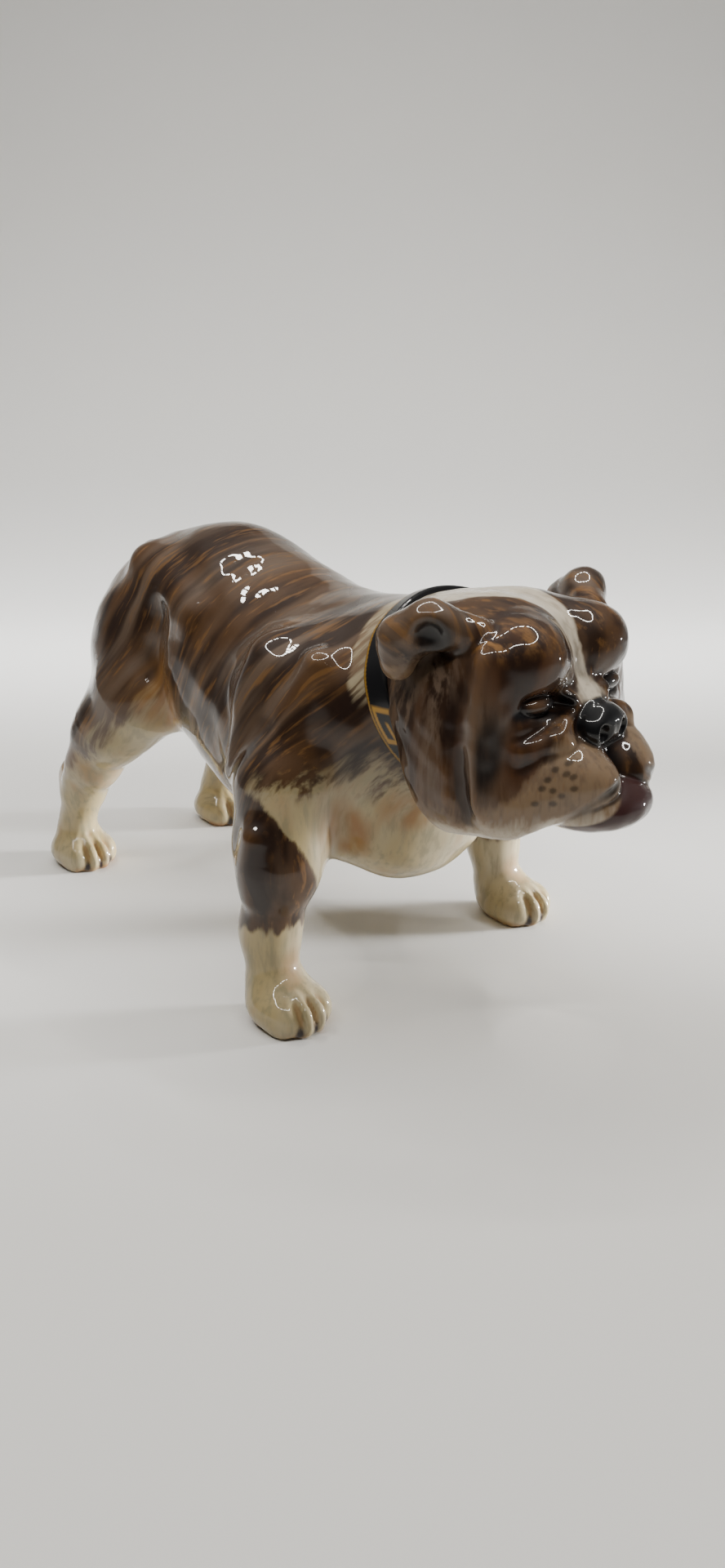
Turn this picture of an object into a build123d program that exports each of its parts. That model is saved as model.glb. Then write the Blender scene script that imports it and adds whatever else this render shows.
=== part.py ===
from build123d import *
import math
import os

# Glazed earthenware bulldog figurine, standing, head turned slightly to its left.
# Slip-cast hollow body and head, legs, ears and tail cast apart and stuck up with slip.
# Units are millimetres.  X = the dog's heading, Y = its left, Z = up, floor at Z = 0.
os.makedirs("parts", exist_ok=True)

# ---------------------------------------------------------------- driving dimensions
PAWS_AHEAD = 25.85       # front paws ahead of the middle of the figure's length
WALL = 3.0               # cast wall of the hollow body and head
VENT_D = 3.0             # firing vent in the belly
VENT_X = -46.0           # vent position behind the front paws
HEAD_PIVOT = (10.0, 0.0, 62.0)
HEAD_TURN = 4.0          # degrees to the dog's left
SEAM_AT = (15.2, 0.0, 62.0)   # head is luted to the neck here, under the collar
SEAM_TILT = 30.9         # seam normal above the heading, degrees
COLLAR_WIDTH = 5.5
COLLAR_TAPER = 7.0       # rear edge leans forward at the top by this angle
COLLAR_PROUD = 0.9
COLLAR_SUNK = 1.0        # band let into the neck
COLLAR_SETBACK = 1.5     # middle of the band behind the seam
FORE_JOINT_Z = 34.0      # forelegs are stuck to the body at this height
HIND_JOINT_Z = 36.0      # hind legs are stuck to the body at this height
RING_POINTS = 32         # points round each section of a modelled mass

# A mass is (centre, half sizes, pitch, roll, softness of its join); pitch lifts the front.
# Masses marked PAIR lie at the dog's right (negative Y) and are repeated at its left.
RIBS = ((-27.0, 0.0, 50.0), (32.0, 25.0, 26.5), 0.0, 0.0, 0.0)
LOIN = ((-56.0, 0.0, 62.0), (26.0, 20.0, 24.0), 0.0, 0.0, 14.0)
RUMP = ((-76.0, 0.0, 60.0), (19.0, 18.0, 19.8), 0.0, 0.0, 10.0)
CHEST = ((0.0, 0.0, 43.0), (15.0, 21.5, 22.3), 0.0, 0.0, 10.0)
NECK = ((2.0, 0.0, 59.5), (30.0, 22.0, 18.0), 14.0, 0.0, 10.0)
SHOULDER_PAIR = ((-11.0, -20.0, 50.0), (13.0, 9.5, 21.0), 12.0, 0.0, 10.0)
THIGH_PAIR = ((-74.0, -14.0, 53.0), (14.0, 9.0, 18.0), -25.0, 0.0, 8.0)

SKULL = ((15.0, 0.0, 64.0), (19.0, 20.5, 16.5), 0.0, 0.0, 0.0)
FOREHEAD = ((25.0, 0.0, 70.0), (12.0, 17.0, 11.5), 0.0, 0.0, 6.0)
BROW_PAIR = ((32.5, -9.6, 72.5), (7.2, 7.8, 7.0), 0.0, 0.0, 4.5)
CHEEK_PAIR = ((24.0, -15.0, 57.0), (11.5, 9.2, 14.5), 0.0, 0.0, 8.0)
MUZZLE_PAIR = ((39.0, -5.5, 53.0), (10.5, 6.5, 6.2), 0.0, 0.0, 3.5)
JOWL_PAIR = ((23.0, -18.0, 51.0), (8.5, 6.0, 8.5), 0.0, 0.0, 4.0)
BRIDGE = ((37.5, 0.0, 60.5), (5.5, 6.0, 7.0), 0.0, 0.0, 4.0)
JAW = ((40.3, 0.0, 48.6), (11.2, 9.8, 5.1), 0.0, 0.0, 1.5)
NOSE = ((41.6, 0.0, 61.4), (3.9, 5.5, 3.8), 0.0, 0.0, 1.0)
EYE_SOCKET_PAIR = ((39.6, -10.6, 65.9), (4.4, 5.0, 2.0), 0.0, 0.0, 2.0)

# A limb is a chain of joints (x, y, z, radius); the paw is one more mass.
FLEW_PAIR = ((39.5, -7.5, 53.0, 6.8), (31.0, -14.5, 49.5, 7.0))
FORELEG = ((-6.0, -28.0, 44.0, 9.5), (-3.6, -31.5, 31.0, 7.4), (-5.6, -32.5, 17.0, 5.2),
           (-4.6, -33.0, 9.0, 5.2))
FORE_PAW = ((0.0, -33.5, 3.6), (9.0, 7.6, 5.6), 0.0, 0.0, 4.0)
HINDLEG = ((-68.0, -19.0, 48.0, 10.0), (-75.7, -21.0, 39.4, 8.2), (-83.5, -22.0, 29.0, 5.6),
           (-90.0, -22.0, 21.0, 5.0), (-95.0, -22.0, 10.0, 4.6))
HIND_PAW = ((-93.5, -22.0, 3.6), (9.0, 7.6, 5.4), 0.0, 0.0, 4.0)
LIMB_SOFTNESS = 4.0
FORE_SOFTNESS = 5.0      # fillet of the upper arm into the body
HIND_SOFTNESS = 6.0      # fillet of the thigh into the body
STUB_TAPER = 0.35        # stub drawn in per millimetre of height above the joint
STUB_LAP = 3.0           # the body carries this much of each leg as a stub above its joint

# Folded rose ear at the dog's right, in head-local position: root, fold, leaf and hanging tip.
EAR = ((27.0, -15.5, 76.6, 3.3), (21.8, -21.4, 78.8, 3.6), (17.4, -23.2, 76.0, 3.6),
       (17.2, -23.9, 72.0, 2.9))
LEFT_EAR_AHEAD = 2.0     # the left ear sits this much further forward
EAR_SOFTNESS = 3.0
# Short tail lying down over the rump.
TAIL = ((-86.0, 0.0, 75.0, 4.0), (-93.0, 0.0, 69.5, 3.8), (-95.2, 0.4, 62.5, 3.2),
        (-95.0, 0.8, 56.0, 2.2))
TAIL_SOFTNESS = 3.0


# ---------------------------------------------------------------- modelled masses
def blend(a, b, soft):
    """Join two masses with a fillet of the given softness."""
    if soft <= 0.0:
        return min(a, b)
    h = max(0.0, min(1.0, 0.5 + 0.5 * (b - a) / soft))
    return b + (a - b) * h - soft * h * (1.0 - h)


def egg(p, mass):
    """Signed distance, near enough, to an egg-shaped mass."""
    (cx, cy, cz), (rx, ry, rz), pitch, roll, _ = mass
    x, y, z = p[0] - cx, p[1] - cy, p[2] - cz
    a, b = math.radians(pitch), math.radians(roll)
    x, z = x * math.cos(a) + z * math.sin(a), -x * math.sin(a) + z * math.cos(a)
    y, z = y * math.cos(b) + z * math.sin(b), -y * math.sin(b) + z * math.cos(b)
    k0 = math.sqrt((x / rx) ** 2 + (y / ry) ** 2 + (z / rz) ** 2)
    k1 = math.sqrt((x / rx ** 2) ** 2 + (y / ry ** 2) ** 2 + (z / rz ** 2) ** 2) + 1e-9
    return k0 * (k0 - 1.0) / k1


def limb(p, a, b):
    """Signed distance, near enough, to a tapering round limb between two joints."""
    ax, ay, az, ra = a
    bx, by, bz, rb = b
    dx, dy, dz = bx - ax, by - ay, bz - az
    t = ((p[0] - ax) * dx + (p[1] - ay) * dy + (p[2] - az) * dz) / (dx * dx + dy * dy + dz * dz)
    t = max(0.0, min(1.0, t))
    return math.dist(p, (ax + dx * t, ay + dy * t, az + dz * t)) - (ra + (rb - ra) * t)


def chain(p, joints, soft=LIMB_SOFTNESS):
    """A bent member: its limbs joined one after another."""
    d = limb(p, joints[0], joints[1])
    for a, b in zip(joints[1:], joints[2:]):
        d = blend(d, limb(p, a, b), soft)
    return d


def right_side(p):
    """The same point folded over to the dog's right side."""
    return (p[0], -abs(p[1]), p[2])


def head_local(p):
    """A point as seen by the turned head."""
    a = math.radians(HEAD_TURN)
    x, y = p[0] - HEAD_PIVOT[0], p[1] - HEAD_PIVOT[1]
    return (HEAD_PIVOT[0] + x * math.cos(a) + y * math.sin(a),
            HEAD_PIVOT[1] - x * math.sin(a) + y * math.cos(a), p[2])


def head_point(x, y, z):
    """Where a head-local position stands on the figure."""
    a = math.radians(HEAD_TURN)
    x, y = x - HEAD_PIVOT[0], y - HEAD_PIVOT[1]
    return (HEAD_PIVOT[0] + x * math.cos(a) - y * math.sin(a),
            HEAD_PIVOT[1] + x * math.sin(a) + y * math.cos(a), z)


def trunk_core(p):
    """Ribs, loin, rump, chest, shoulders, thighs and neck as one body."""
    q = right_side(p)
    d = egg(p, RIBS)
    for mass in (LOIN, RUMP, CHEST):
        d = blend(d, egg(p, mass), mass[4])
    for mass in (SHOULDER_PAIR, THIGH_PAIR):
        d = blend(d, egg(q, mass), mass[4])
    return blend(d, egg(p, NECK), NECK[4])


def trunk(p):
    """The body with the upper part of each leg growing out of it, above the leg joints."""
    q = right_side(p)
    fore = max(limb(q, FORELEG[0], FORELEG[1]), FORE_JOINT_Z + STUB_LAP - p[2])
    hind = max(limb(q, HINDLEG[0], HINDLEG[1]), HIND_JOINT_Z + STUB_LAP - p[2])
    return blend(blend(trunk_core(p), fore, FORE_SOFTNESS), hind, HIND_SOFTNESS)


def skull(p):
    """The broad head with brows, cheeks, flews, nose and undershot jaw, on its neck."""
    local = head_local(p)
    q = right_side(local)
    d = egg(local, SKULL)
    d = blend(d, egg(local, FOREHEAD), FOREHEAD[4])
    for mass in (BROW_PAIR, CHEEK_PAIR, JOWL_PAIR, MUZZLE_PAIR):
        d = blend(d, egg(q, mass), mass[4])
    d = blend(d, limb(q, *FLEW_PAIR), LIMB_SOFTNESS)
    for mass in (BRIDGE, JAW, NOSE):
        d = blend(d, egg(local, mass), mass[4])
    d = -blend(-d, egg(q, EYE_SOCKET_PAIR), EYE_SOCKET_PAIR[4])
    return blend(d, egg(p, NECK), 2.5)


def foreleg(p):
    """A straight bowed foreleg with its paw."""
    return blend(chain(p, FORELEG), egg(p, FORE_PAW), FORE_PAW[4])


def hindleg(p):
    """A hind leg bent at the hock, with its paw."""
    return blend(chain(p, HINDLEG), egg(p, HIND_PAW), HIND_PAW[4])


def ear(p):
    """One folded ear, seen in the head's own position."""
    return chain(p, EAR, EAR_SOFTNESS)


def tail(p):
    """The short tail."""
    return chain(p, TAIL, TAIL_SOFTNESS)


# ---------------------------------------------------------------- sections and lofts
def reach(body, centre, way, inset):
    """Distance from a centre out to the surface of a body, less the inset."""
    def depth(r):
        return body(tuple(c + r * w for c, w in zip(centre, way))) + inset
    near, far = 0.0, 0.8
    if depth(near) >= 0.0:
        raise ValueError(f"section centre {centre} lies outside the body")
    while depth(far) < 0.0:
        near, far = far, far + 0.8
    for _ in range(24):
        mid = 0.5 * (near + far)
        if depth(mid) < 0.0:
            near = mid
        else:
            far = mid
    return 0.5 * (near + far)


def ring(body, centre, across, upward, inset=0.0):
    """Closed smooth section of a body in the plane of two directions."""
    points = []
    for i in range(RING_POINTS):
        a = 2.0 * math.pi * i / RING_POINTS
        way = tuple(math.cos(a) * s + math.sin(a) * t for s, t in zip(across, upward))
        r = reach(body, centre, way, inset)
        points.append(Vector(*(c + r * w for c, w in zip(centre, way))))
    return Wire([Edge.make_spline(points, periodic=True)])


def between(value, table):
    """Straight-line reading of a short table of (value, result) pairs."""
    for (a, fa), (b, fb) in zip(table, table[1:]):
        if value <= b:
            return fa + (fb - fa) * (value - a) / (b - a)
    return table[-1][1]


TRUNK_AXIS = ((-96.0, 59.0), (-70.0, 59.0), (-45.0, 57.0), (-25.0, 51.0), (0.0, 50.0),
              (14.0, 56.0), (30.0, 61.0))
TRUNK_STATIONS = (-94.4, -92.5, -89.0, -83.0, -75.0, -66.0, -56.0, -46.0, -36.0, -27.0,
                  -19.0, -12.0, -5.0, 2.0, 8.0, 13.0, 18.0, 23.0, 27.5)
CAVITY_STATIONS = (-90.5, -88.0, -83.0, -75.0, -66.0, -56.0, -46.0, -36.0, -27.0,
                   -19.0, -12.0, -5.0, 2.0, 8.0, 13.0, 18.0, 24.0)
HEAD_AXIS = ((-4.0, 62.0), (18.0, 63.0), (30.0, 62.0), (38.0, 57.5), (44.0, 53.0), (47.6, 50.5),
             (49.3, 49.0), (51.0, 48.5))
HEAD_STATIONS = (-2.0, 4.0, 10.0, 16.0, 21.0, 25.5, 29.5, 32.5, 35.0, 37.2, 39.2, 41.2,
                 43.4, 45.5, 47.6, 49.3, 50.6)
HEAD_CAVITY_STATIONS = (0.0, 6.0, 12.0, 18.0, 23.0, 27.0, 30.0)
FORE_AXIS = ((0.0, -0.6), (5.0, -2.0), (10.0, -4.6), (17.0, -5.6), (31.0, -3.6), (44.0, -6.0))
FORE_SIDE = ((0.0, -33.5), (9.0, -33.0), (17.0, -32.5), (31.0, -31.5), (44.0, -28.0))
FORE_STATIONS = (0.0, 1.6, 3.6, 5.8, 8.0, 10.5, 14.0, 18.0, 23.0, 28.0, 31.0, 34.0, 36.5, 39.0, 42.0)
HIND_AXIS = ((0.0, -94.0), (5.0, -94.5), (10.0, -95.0), (21.0, -90.0), (29.0, -83.5),
             (39.4, -75.7), (48.0, -68.0))
HIND_SIDE = ((0.0, -22.0), (29.0, -22.0), (39.4, -21.0), (48.0, -19.0))
HIND_STATIONS = (0.0, 1.6, 3.6, 5.8, 8.0, 10.5, 15.0, 20.0, 25.0, 30.0, 33.0, 36.0, 38.5, 41.0, 44.0)
EAR_AXIS = ((-27.5, 17.3, 75.5), (-25.0, 17.4, 74.6), (-23.4, 18.0, 75.8), (-21.4, 20.6, 77.6),
            (-15.5, 27.0, 76.6), (-11.0, 27.0, 76.6))
EAR_STATIONS = (-27.4, -27.2, -26.8, -26.2, -25.2, -24.2, -23.0, -21.6, -20.0, -18.0, -16.0,
                -14.2, -13.1, -12.5)
TAIL_AXIS = ((53.0, -95.0), (56.0, -95.0), (62.5, -95.2), (69.5, -93.0), (75.0, -86.0))
TAIL_STATIONS = (54.2, 55.0, 56.5, 59.0, 62.5, 66.0, 69.5, 72.0, 74.5)


def trunk_loft(stations, inset=0.0):
    """Body of the dog lofted from rump to neck."""
    body = trunk_core if inset else trunk
    return Solid.make_loft([ring(body, (x, 0.0, between(x, TRUNK_AXIS)), (0, 0, 1), (0, 1, 0), inset)
                            for x in stations])


def head_loft(stations, inset=0.0):
    """Head lofted from nape to lips along its own turned axis."""
    a = math.radians(HEAD_TURN)
    across = (-math.sin(a), math.cos(a), 0.0)
    return Solid.make_loft([ring(skull, head_point(x, 0.0, between(x, HEAD_AXIS)), (0, 0, 1),
                                 across, inset) for x in stations])


def leg_loft(body, stations, axis, side, joint_z):
    """Leg lofted upward from its flat sole, its stub drawn in above the joint."""
    wires = []
    for z in stations:
        drawn_in = STUB_TAPER * max(0.0, z - joint_z)
        wires.append(ring(body, (between(z, axis), between(z, side), z), (1, 0, 0), (0, 1, 0), drawn_in))
    return Solid.make_loft(wires)


def below(solid, height):
    return split(solid, bisect_by=Plane((0, 0, height), z_dir=(0, 0, 1)), keep=Keep.BOTTOM)


def above(solid, height):
    return split(solid, bisect_by=Plane((0, 0, height), z_dir=(0, 0, 1)), keep=Keep.TOP)


def largest(shape):
    """The biggest solid of a cut, so no crumb is left beside it."""
    return max(shape.solids(), key=lambda s: s.volume)


SEAM_WAY = (math.cos(math.radians(SEAM_TILT)), 0.0, math.sin(math.radians(SEAM_TILT)))
SEAM = Plane(SEAM_AT, x_dir=(0, 1, 0), z_dir=SEAM_WAY)


def nape(p):
    """The thick neck with the back of the skull, without cheeks."""
    return blend(trunk_core(p), egg(head_local(p), SKULL), 3.0)


def band(depth, past=0.0):
    """Disc of the neck across the collar's width, its rim set in or out by a depth."""
    wires = []
    for edge, lean in ((-0.5, COLLAR_TAPER), (0.5, 0.0)):
        tilt = math.radians(SEAM_TILT + 90 - lean)
        lift = (math.cos(tilt), 0.0, math.sin(tilt))
        step = edge * (COLLAR_WIDTH + 2 * past) - COLLAR_SETBACK
        centre = tuple(c + step * w for c, w in zip(SEAM_AT, SEAM_WAY))
        wires.append(ring(nape, centre, lift, (0, 1, 0), depth))
    return Solid.make_loft(wires)


def make_collar():
    """Collar band let into a shallow groove round the luted neck seam."""
    return largest(band(-COLLAR_PROUD) - band(COLLAR_SUNK, 1.0))


def make_ears(head_solid):
    """The right ear and the left ear, each bedded on the turned head."""
    turn = Pos(*HEAD_PIVOT) * Rot(0, 0, HEAD_TURN) * Pos(*(-v for v in HEAD_PIVOT))
    pair = []
    for side, ahead in ((1, 0.0), (-1, LEFT_EAR_AHEAD)):
        wires = []
        for y in EAR_STATIONS:
            x = between(y, [(a, b) for a, b, _ in EAR_AXIS])
            z = between(y, [(a, c) for a, _, c in EAR_AXIS])
            ways = ((0, 0, 1), (1, 0, 0)) if side > 0 else ((1, 0, 0), (0, 0, 1))
            wires.append(ring(lambda p: ear((p[0] - ahead, side * p[1], p[2])),
                              (x + ahead, side * y, z), *ways))
        pair.append(largest(turn * Solid.make_loft(wires) - head_solid))
    return pair


def make_tail(trunk_solid):
    """Short tail luted to the rump."""
    wires = [ring(tail, (between(z, TAIL_AXIS), between(z, ((56.0, 0.8), (69.5, 0.0))), z),
                  (1, 0, 0), (0, 1, 0)) for z in TAIL_STATIONS]
    return largest(Solid.make_loft(wires) - trunk_solid)


# ---------------------------------------------------------------- build the figure
trunk_outer = trunk_loft(TRUNK_STATIONS)
head_outer = head_loft(HEAD_STATIONS)
trunk_cavity = trunk_loft(CAVITY_STATIONS, WALL)
head_cavity = head_loft(HEAD_CAVITY_STATIONS, WALL)
right_fore = leg_loft(foreleg, FORE_STATIONS, FORE_AXIS, FORE_SIDE, FORE_JOINT_Z)
right_hind = leg_loft(hindleg, HIND_STATIONS, HIND_AXIS, HIND_SIDE, HIND_JOINT_Z)
left_fore = right_fore.mirror(Plane.XZ)
left_hind = right_hind.mirror(Plane.XZ)

body = split(trunk_outer, bisect_by=SEAM, keep=Keep.BOTTOM)
for leg, height in ((right_fore, FORE_JOINT_Z), (left_fore, FORE_JOINT_Z),
                    (right_hind, HIND_JOINT_Z), (left_hind, HIND_JOINT_Z)):
    body = body + above(leg, height)
vent = Pos(VENT_X, 0, 30) * Cylinder(VENT_D / 2, 30)
collar = make_collar()
torso = largest(body - trunk_cavity - vent - collar)
head = largest(split(head_outer, bisect_by=SEAM, keep=Keep.TOP) - head_cavity - collar)
right_ear, left_ear = make_ears(head_outer)

pieces = {
    "torso": torso,
    "head": head,
    "collar": collar,
    "right_foreleg": largest(below(right_fore, FORE_JOINT_Z) - trunk_outer),
    "left_foreleg": largest(below(left_fore, FORE_JOINT_Z) - trunk_outer),
    "right_hindleg": largest(below(right_hind, HIND_JOINT_Z) - trunk_outer),
    "left_hindleg": largest(below(left_hind, HIND_JOINT_Z) - trunk_outer),
    "right_ear": right_ear,
    "left_ear": left_ear,
    "tail": make_tail(trunk_outer),
}

for name, solid in pieces.items():
    placed = solid.moved(Location((PAWS_AHEAD, 0, 0)))
    placed.label = name
    box = placed.bounding_box()
    print(name, "valid" if placed.is_valid else "INVALID", round(placed.volume),
          [round(v, 1) for v in (*box.min, *box.max)])
    export_step(placed, f"parts/{name}.step")
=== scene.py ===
import math
import bpy
import numpy as np
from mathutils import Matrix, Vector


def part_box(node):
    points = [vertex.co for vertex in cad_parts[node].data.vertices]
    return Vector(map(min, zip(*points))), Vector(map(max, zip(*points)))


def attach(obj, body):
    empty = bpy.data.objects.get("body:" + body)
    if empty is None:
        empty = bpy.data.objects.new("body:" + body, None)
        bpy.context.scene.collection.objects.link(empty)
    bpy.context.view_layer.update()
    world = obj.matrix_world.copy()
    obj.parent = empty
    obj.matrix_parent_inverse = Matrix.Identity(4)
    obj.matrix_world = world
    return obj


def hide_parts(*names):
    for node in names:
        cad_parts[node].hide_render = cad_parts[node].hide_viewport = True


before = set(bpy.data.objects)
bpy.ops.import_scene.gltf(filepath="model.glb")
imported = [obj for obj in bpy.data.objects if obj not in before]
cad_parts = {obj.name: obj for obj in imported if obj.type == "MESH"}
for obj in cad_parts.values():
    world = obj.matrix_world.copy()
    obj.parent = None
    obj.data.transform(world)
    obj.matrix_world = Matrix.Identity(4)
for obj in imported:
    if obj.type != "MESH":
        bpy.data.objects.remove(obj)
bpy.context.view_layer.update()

import openvdb
from mathutils import Vector

f4 = np.float32

# ---------------------------------------------------------------- where the figure stands
# The sculpt works in millimetres from the floor point midway between the front paws.
PAW_TO_LEG_MIDDLE = 1.8
leg_lo, leg_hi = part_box("right_foreleg")
AHEAD = (leg_lo[0] + leg_hi[0]) * 500.0 + PAW_TO_LEG_MIDDLE
HEAD_PIVOT = np.array((10.0, 0.0, 62.0), f4)
HEAD_TURN = 4.0
SEAM_LEAN = 30.9            # degrees the neck seam's normal points above straight ahead
COLLAR_TAPER = 7.0          # degrees the collar's rear edge leans forward of the seam
COLLAR_AHEAD, COLLAR_BEHIND = 1.25, 4.25
SEAM_GAP = 0.6              # how far trunk and head each reach past the seam, under the collar
COLLAR_PROUD, COLLAR_SUNK = 0.9, 1.0
COLLAR_MIDDLE = 2.9         # from the collar's rear edge to the line its buckle sits on
LEFT_EAR_AHEAD = 2.0

# where the legs part from the trunk
FORE_JOINT_Z, HIND_JOINT_Z = 34.0, 36.0
FORELEG_INNER_Y, HINDLEG_INNER_Y = 21.0, 11.0
FORELEG_REAR_X, HINDLEG_FRONT_X = -40.0, -50.0

# sole centres on the right, and the grooves between a paw's toes
FORE_PAW, HIND_PAW = (0.0, -33.5), (-93.5, -22.0)
TOE_GROOVES = (-3.2, 0.0, 3.2)
TOES = (-4.6, -1.6, 1.6, 4.6)

# the mouth line runs back and down from the middle of the upper lip, on the right
LIP_FRONT, LIP_SIDE, LIP_BACK = (50.6, -2, 55.2), (49.0, -9.5, 50.8), (41.0, -14.6, 44.2)


def lean(degrees):
    """Unit vector ahead, raised by an angle."""
    return np.array((math.cos(math.radians(degrees)), 0.0, math.sin(math.radians(degrees))))


SEAM_AT = np.array((15.2, 0.0, 62.0), f4)
SEAM_WAY = lean(SEAM_LEAN).astype(f4)
REAR_WAY = lean(SEAM_LEAN - COLLAR_TAPER)


# ---------------------------------------------------------------- sculpting tools
def turned(p, yaw=0.0, pitch=0.0, roll=0.0):
    """Points as seen by something turned left by yaw, nose up by pitch, then rolled."""
    yaw, pitch, roll = (math.radians(v) for v in (yaw, pitch, roll))
    x, y, z = p[:, 0], p[:, 1], p[:, 2]
    x, y = x * math.cos(yaw) + y * math.sin(yaw), -x * math.sin(yaw) + y * math.cos(yaw)
    x, z = x * math.cos(pitch) + z * math.sin(pitch), -x * math.sin(pitch) + z * math.cos(pitch)
    y, z = y * math.cos(roll) + z * math.sin(roll), -y * math.sin(roll) + z * math.cos(roll)
    return np.stack((x, y, z), 1)


def egg(p, c, r, yaw=0.0, pitch=0.0, roll=0.0):
    """Rough distance outside an ellipsoid of centre c and half-lengths r."""
    q = p - np.array(c, f4)
    if yaw or pitch or roll:
        q = turned(q, yaw, pitch, roll)
    r = np.array(r, f4)
    q = q / r
    k0 = np.sqrt((q * q).sum(1))
    q = q / r
    return k0 * (k0 - 1.0) / (np.sqrt((q * q).sum(1)) + 1e-9)


def limb(p, a, b, ra, rb):
    """Distance outside a round-ended bar from a to b whose radius goes from ra to rb."""
    a, b = np.array(a, f4), np.array(b, f4)
    ab = b - a
    t = np.clip(((p - a) @ ab) / float(ab @ ab), 0.0, 1.0)
    return np.sqrt(((p - a - t[:, None] * ab) ** 2).sum(1)) - (ra + (rb - ra) * t)


def join(a, b, k):
    """Two masses as one, blended over about k."""
    h = np.clip(0.5 + 0.5 * (b - a) / k, 0.0, 1.0)
    return b + (a - b) * h - k * h * (1.0 - h)


def carve(a, b, k):
    """a with the mass b taken out of it, softly."""
    return -join(-a, b, k)


def right(p):
    """Points folded on to the dog's right, so a mass there is made on both sides."""
    q = p.copy()
    q[:, 1] = -np.abs(q[:, 1])
    return q


def head_local(p):
    """Points in the head's own frame, undoing its turn."""
    return turned(p - HEAD_PIVOT, HEAD_TURN) + HEAD_PIVOT


# ---------------------------------------------------------------- the dog's masses
def neck(p):
    return egg(p, (2.0, 0, 59.5), (30, 22, 18), 0, 14)


def trunk(p):
    q = right(p)
    d = egg(p, (-27, 0, 50), (32, 25, 26.5))  # rib cage
    d = join(d, egg(p, (-56, 0, 62), (26, 20, 24.0)), 14)  # loin
    d = join(d, egg(p, (-76, 0, 60), (19, 18, 19.8)), 10)  # rump
    d = join(d, egg(p, (0, 0, 43), (15, 21.5, 22.3)), 10)  # chest
    d = join(d, egg(q, (-11, -20, 50), (13, 9.5, 21), 0, 12), 10)  # shoulder
    d = join(d, egg(q, (-74, -14, 53), (14, 9, 18), 0, -25), 8)  # thigh
    d = join(d, neck(p), 10)
    # hip and shoulder-blade ridges, flank folds and the hollow of the back
    d = join(d, limb(q, (-70, -12.5, 77.5), (-46, -17.5, 69), 2.5, 1.5), 7)
    d = join(d, limb(q, (-1.5, -23.5, 68), (-4.5, -31.0, 47), 1.6, 2.6), 6)
    d = join(d, limb(q, (-16, -23.5, 67), (-17, -30.0, 46), 1.2, 2.0), 6)
    d = carve(d, limb(q, (-57, -22.0, 68), (-61, -21.5, 46), 1.2, 2.4), 6)
    d = carve(d, limb(q, (-27, -28.0, 62), (-23, -29.5, 42), 1.2, 1.5), 5)
    d = carve(d, limb(q, (4.0, -27.5, 52), (5.5, -23.5, 33), 1.4, 1.6), 5)
    d = carve(d, limb(p, (-88, 0, 80.5), (-62, 0, 89.0), 1.5, 1.0), 5)
    x, y, z = p.T
    swell = np.sin(0.42 * x + 1.3 * np.sin(0.23 * z)) * np.sin(0.37 * z + 0.31 * y + 1.0)
    small = np.sin(0.95 * x + 0.4 * y) * np.sin(0.85 * z - 0.5 * x + 0.6) * np.sin(0.7 * y + 0.3 * z)
    return d + 0.14 * swell + 0.03 * small


def paw(d, q, centre):
    """Round toes with grooves between them on a paw's front."""
    x, y = centre
    for off in TOES:
        d = join(d, egg(q, (x + 6.0 - 0.12 * off * off, y + off, 3.0), (3.4, 2.1, 3.4)), 1.6)
    for off in TOE_GROOVES:
        tip = (x + 10.4 - 0.1 * off * off, y + off, 1.0)
        d = carve(d, limb(q, tip, (x + 5.0, y + 0.8 * off, 8.8), 0.5, 0.3), 1.6)
    return d


def foreleg(q):
    d = limb(q, (-6, -28, 44), (-3.6, -31.5, 31), 9.5, 7.4)
    d = join(d, limb(q, (-3.6, -31.5, 31), (-5.6, -32.5, 17), 7.4, 5.2), 4)
    d = join(d, limb(q, (-5.6, -32.5, 17), (-4.6, -33, 9), 5.2, 5.2), 4)
    d = join(d, egg(q, (-9.6, -31.5, 34.5), (3.2, 4.5, 5.0)), 4)
    d = join(d, limb(q, (-2.5, -38.0, 38), (-4.0, -37.0, 26), 1.8, 1.2), 4)
    return paw(join(d, egg(q, (*FORE_PAW, 3.6), (8.6, 7.4, 5.4)), 4), q, FORE_PAW)


def hindleg(q):
    d = limb(q, (-68, -19, 48), (-75.7, -21, 39.4), 10, 8.2)
    d = join(d, limb(q, (-75.7, -21, 39.4), (-83.5, -22, 29), 8.2, 5.6), 4)
    d = join(d, limb(q, (-83.5, -22, 29), (-90, -22, 21), 5.6, 4.8), 4)
    d = join(d, limb(q, (-90, -22, 21), (-95, -22, 10), 4.8, 4.6), 4)
    d = join(d, egg(q, (-94.6, -22, 23.2), (3.6, 3.2, 4.6), 0, -20), 3)
    d = join(d, limb(q, (-79, -27.5, 38), (-88, -26.0, 25), 1.6, 1.0), 4)
    return paw(join(d, egg(q, (*HIND_PAW, 3.6), (8.6, 7.4, 5.2)), 4), q, HIND_PAW)


def tail(p):
    d = limb(p, (-86, 0, 75), (-93, 0, 69.5), 4.0, 3.8)
    d = join(d, limb(p, (-93, 0, 69.5), (-95.2, 0.4, 62.5), 3.8, 3.2), 3)
    return join(d, limb(p, (-95.2, 0.4, 62.5), (-95, 0.8, 56), 3.2, 2.2), 3)


def body(p):
    q = right(p)
    d = join(trunk(p), foreleg(q), 5)
    d = join(d, hindleg(q), 6)
    d = join(d, tail(p), 2)
    d = np.maximum(d, -p[:, 2])
    return carve(d, SEAM_GAP - seam_side(p), 1.0)


def seam_side(p):
    """Distance ahead of the neck seam."""
    return (p - SEAM_AT) @ SEAM_WAY


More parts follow.
